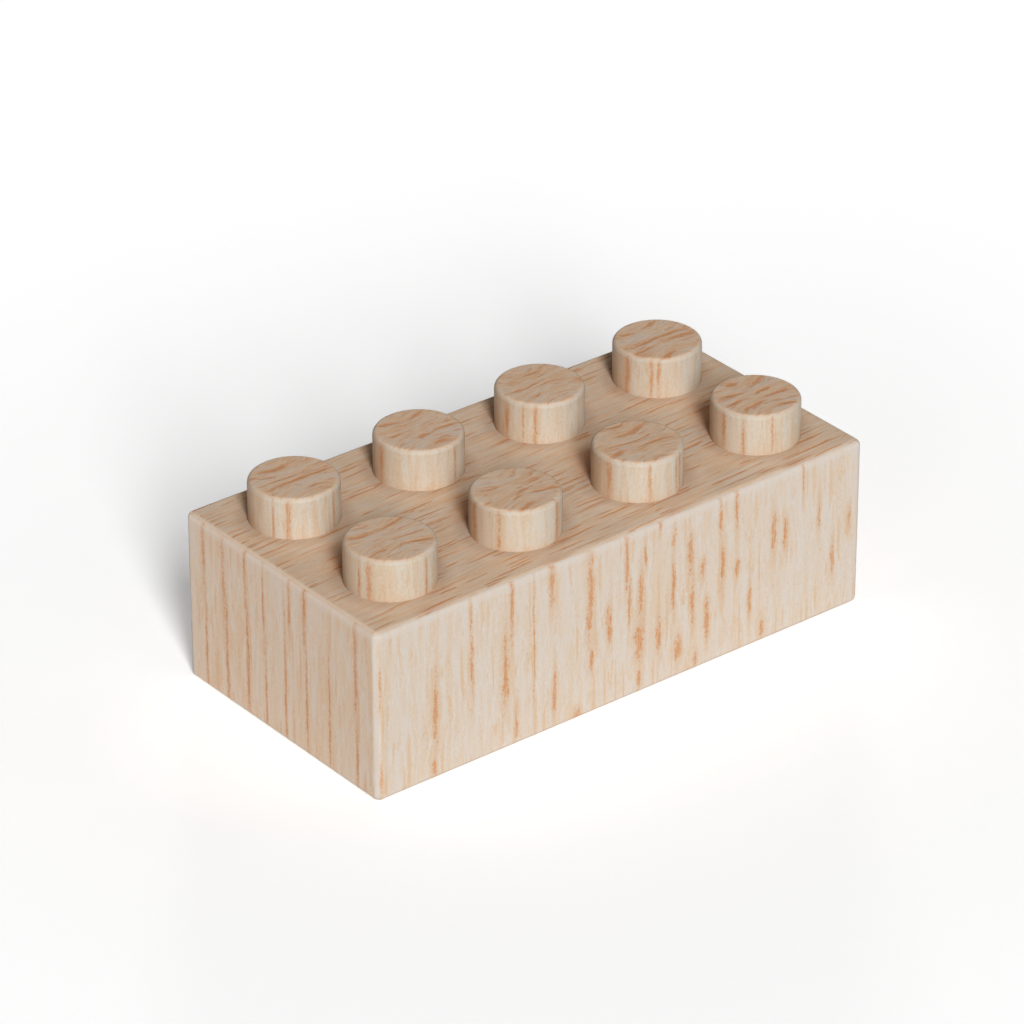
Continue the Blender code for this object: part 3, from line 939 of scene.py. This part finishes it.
def tube_material():
    """A grip tube: upright grain with fine turning marks, end grain on its ends."""
    shader = new_shader("tube_oak_turned")
    place = shader.place()
    swayed = wavy(shader, place, TURNED_SWAY, TUBE_RIPPLE, TUBE_SEED)
    side, fibres = side_wood(shader, swayed, SHORT_WOOD, TUBE_SEED)
    ends = end_grain(shader, place, TUBE_END_SEED)
    colour = shader.mix(shader.step(shader.normal_parts()[2], 0.7, 0.95), side, ends)
    height = shader.math("ADD", shader.math("MULTIPLY", fibres, 0.5), shader.noise(place, TURNING_MARKS))
    return shader.wood(colour, height, fibres, "tube")


def spline_material():
    """A corner spline: plain upright grain, sawn rough."""
    shader = new_shader("spline_oak_sawn")
    colour, fibres = side_wood(shader, shader.place(), SHORT_WOOD, SPLINE_SEED)
    return shader.wood(colour, fibres, fibres, "spline")


def rounded_shading():
    """A node group that welds a node's triangles and shades them smooth up to the smoothing angle."""
    group = bpy.data.node_groups.new("rounded_shading", "GeometryNodeTree")
    group.interface.new_socket("Geometry", in_out="INPUT", socket_type="NodeSocketGeometry")
    group.interface.new_socket("Geometry", in_out="OUTPUT", socket_type="NodeSocketGeometry")
    source = group.nodes.new("NodeGroupInput")
    weld = group.nodes.new("GeometryNodeMergeByDistance")
    weld.inputs["Distance"].default_value = WELD_DISTANCE
    plain = group.nodes.new("GeometryNodeRemoveAttribute")
    plain.inputs["Name"].default_value = "custom_normal"
    smooth = group.nodes.new("GeometryNodeSetShadeSmooth")
    smooth.domain = "FACE"
    angle = group.nodes.new("GeometryNodeInputMeshEdgeAngle")
    gentle = group.nodes.new("FunctionNodeCompare")
    gentle.data_type = "FLOAT"
    gentle.operation = "LESS_THAN"
    gentle.inputs["B"].default_value = math.radians(SMOOTHING_ANGLE)
    edges = group.nodes.new("GeometryNodeSetShadeSmooth")
    edges.domain = "EDGE"
    result = group.nodes.new("NodeGroupOutput")
    chain = (source, weld, plain, smooth, edges, result)
    for first, second in zip(chain, chain[1:]):
        group.links.new(first.outputs["Geometry"], second.inputs["Geometry"])
    group.links.new(angle.outputs["Unsigned Angle"], gentle.inputs["A"])
    group.links.new(gentle.outputs["Result"], edges.inputs["Shade Smooth"])
    return group


def shade_nodes(nodes):
    """Shade every node smooth over its roundings, with normals that keep its flat faces flat."""
    group = rounded_shading()
    for item in nodes.values():
        modifier = item.modifiers.new("rounded_shading", "NODES")
        modifier.node_group = group
        weights = item.modifiers.new("face_weights", "WEIGHTED_NORMAL")
        weights.keep_sharp = True
        weights.weight = FACE_WEIGHT


def random_streaks(half_span, seed, count, lengths, widths):
    """Streaks for a wall that the photograph doesn't show, spread evenly along it."""
    draw = random.Random(seed)
    made = []
    for number in range(count):
        across = -half_span + 2 * half_span * (number + draw.uniform(0.1, 0.9)) / count
        length = draw.uniform(*lengths)
        low = draw.uniform(-STREAK_OVERHANG, BODY_HEIGHT - length + STREAK_OVERHANG)
        made.append((across, low, low + length, draw.uniform(*widths)))
    return made


def dress(nodes):
    """Give every node its own oak."""
    long_wall = {"wood": LONG_WOOD, "along_x": True, "sway": LONG_SWAY}
    short_wall = {"wood": SHORT_WOOD, "along_x": False, "sway": SHORT_SWAY}
    back = random_streaks(HALF_LENGTH, **BACK_STREAKS)
    right = random_streaks(HALF_WIDTH, **RIGHT_STREAKS)
    made = {
        "front_wall": wall_material("front_wall_oak", LONG_STREAKS, seed=3.0, **long_wall),
        "back_wall": wall_material("back_wall_oak", back, seed=13.0, **long_wall),
        "left_wall": wall_material("left_wall_oak", SHORT_STREAKS, seed=17.0, **short_wall),
        "right_wall": wall_material("right_wall_oak", right, seed=29.0, **short_wall),
        "top_board": top_material(),
    }
    for name, centre in STUD_CENTRES.items():
        row, number = name
        seed = STUD_SEED_STEP * int(number) + (BACK_ROW_SEED if row == "b" else 0.0)
        made[f"stud_{name}"] = stud_material(name, centre, seed)
    tube = tube_material()
    spline = spline_material()
    for name, item in nodes.items():
        if name.startswith("grip_tube"):
            made[name] = tube
        elif name.startswith("corner_spline"):
            made[name] = spline
        item.material_slots[0].material = made[name]


def paper(shader, grey):
    """A plain diffuse grey."""
    return shader.fed("ShaderNodeBsdfDiffuse", ((grey, grey, grey, 1.0),))


def add_floor():
    """A plain pale floor that shows white, with the brick's shadow on it.

    The camera and reflections see a lighter floor with a glow, weaker near the brick as painted shade round
    it; the brick is lit by a plain grey one.
    """
    half = FLOOR_SIZE / 2
    mesh = bpy.data.meshes.new("floor")
    corners = [(-half, -half, 0.0), (half, -half, 0.0), (half, half, 0.0), (-half, half, 0.0)]
    mesh.from_pydata(corners, [], [(0, 1, 2, 3)])
    floor = bpy.data.objects.new("floor", mesh)
    bpy.context.scene.collection.objects.link(floor)
    shader = new_shader("floor_pale")
    away = shader.vector("LENGTH", shader.place(), output="Value")
    glow = shader.node("ShaderNodeEmission")
    # Painted shade: the glow is weaker near the brick
    shader.feed(glow.inputs["Strength"], shader.step(away, *FLOOR_GLOW_REACH, *FLOOR_GLOW))
    shown = shader.fed("ShaderNodeAddShader", (paper(shader, FLOOR_SHOWN).outputs[0], glow.outputs[0]))
    seen = shader.seen_by("Is Camera Ray", "Is Glossy Ray", "Is Transmission Ray")
    parts = (seen, paper(shader, FLOOR_GREY).outputs[0], shown.outputs[0])
    mixed = shader.fed("ShaderNodeMixShader", parts)
    mesh.materials.append(shader.finish(mixed, "ShaderNodeOutputMaterial"))


def add_sun(name, strength, azimuth, elevation, width, shines=True):
    """A soft distant lamp; azimuth 0 stands in front of the long wall, 90 to the right of it."""
    lamp = bpy.data.lights.new(name, "SUN")
    lamp.energy = strength * math.pi
    lamp.angle = math.radians(width)
    item = bpy.data.objects.new(name, lamp)
    bpy.context.scene.collection.objects.link(item)
    across = math.radians(azimuth)
    up = math.radians(elevation)
    towards = Vector((math.sin(across) * math.cos(up), -math.cos(across) * math.cos(up), math.sin(up)))
    item.rotation_mode = "QUATERNION"
    item.rotation_quaternion = towards.to_track_quat("Z", "Y")
    item.visible_glossy = shines


def add_sky():
    """Even light from all round, seen as white."""
    world = bpy.data.worlds.new("studio")
    bpy.context.scene.world = world
    shader = Shader(world)
    light = shader.fed("ShaderNodeBackground", (WHITE, SKY_STRENGTH))
    white = shader.fed("ShaderNodeBackground", (WHITE, 1.0))
    seen = shader.seen_by("Is Camera Ray", "Is Transmission Ray")
    mixed = shader.fed("ShaderNodeMixShader", (seen, light.outputs[0], white.outputs[0]))
    shader.finish(mixed, "ShaderNodeOutputWorld")


def add_camera():
    """The camera of the photograph's view."""
    data = bpy.data.cameras.new("camera")
    data.lens = CAMERA_LENS
    data.clip_start, data.clip_end = CAMERA_RANGE
    camera = bpy.data.objects.new("camera", data)
    bpy.context.scene.collection.objects.link(camera)
    camera.location = CAMERA_PLACE
    facing = (CAMERA_AIM - CAMERA_PLACE).to_track_quat("-Z", "Y")
    camera.rotation_mode = "QUATERNION"
    camera.rotation_quaternion = facing @ Quaternion((0.0, 0.0, 1.0), math.radians(CAMERA_ROLL))
    bpy.context.scene.camera = camera


shade_nodes(frame["nodes"])
dress(frame["nodes"])
add_floor()
add_sky()
for lamp_name, facts in LAMPS.items():
    add_sun(lamp_name, **facts)
add_camera()
bpy.context.scene.view_settings.view_transform = "Standard"
